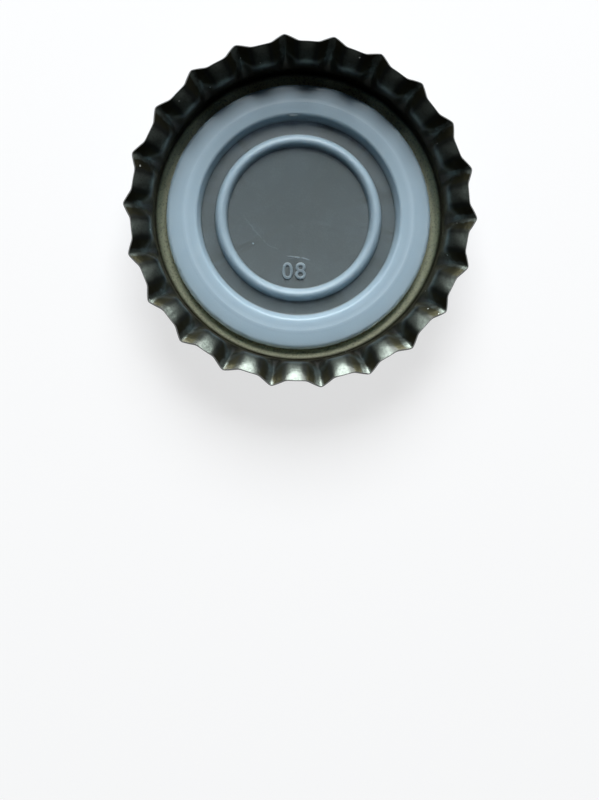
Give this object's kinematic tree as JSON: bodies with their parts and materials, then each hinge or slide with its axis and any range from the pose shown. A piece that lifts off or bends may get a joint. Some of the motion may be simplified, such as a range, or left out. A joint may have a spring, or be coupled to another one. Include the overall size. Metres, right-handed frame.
{
  "type": "bottle cap",
  "caption": "Pressed tinplate crown bottle cap with a crimped skirt and a moulded plastic sealing liner, lying mouth up.",
  "frame": {"origin": "centre of the painted panel's outer face, on which the cap lies", "axes": "+Z along the cap's axis, out of its mouth; +Y is away from the number moulded in the liner"},
  "size_m": [0.032, 0.032, 0.006],
  "materials": {
    "painted_tinplate": "pale blue-grey gloss paint outside, thin olive-gold lacquer inside, bare cut edge",
    "liner_plastic": "milky, slightly translucent moulded plastic"
  },
  "bodies": {
    "root": {"crown_shell": "painted_tinplate", "sealing_liner": "liner_plastic"}
  },
  "joints": []
}
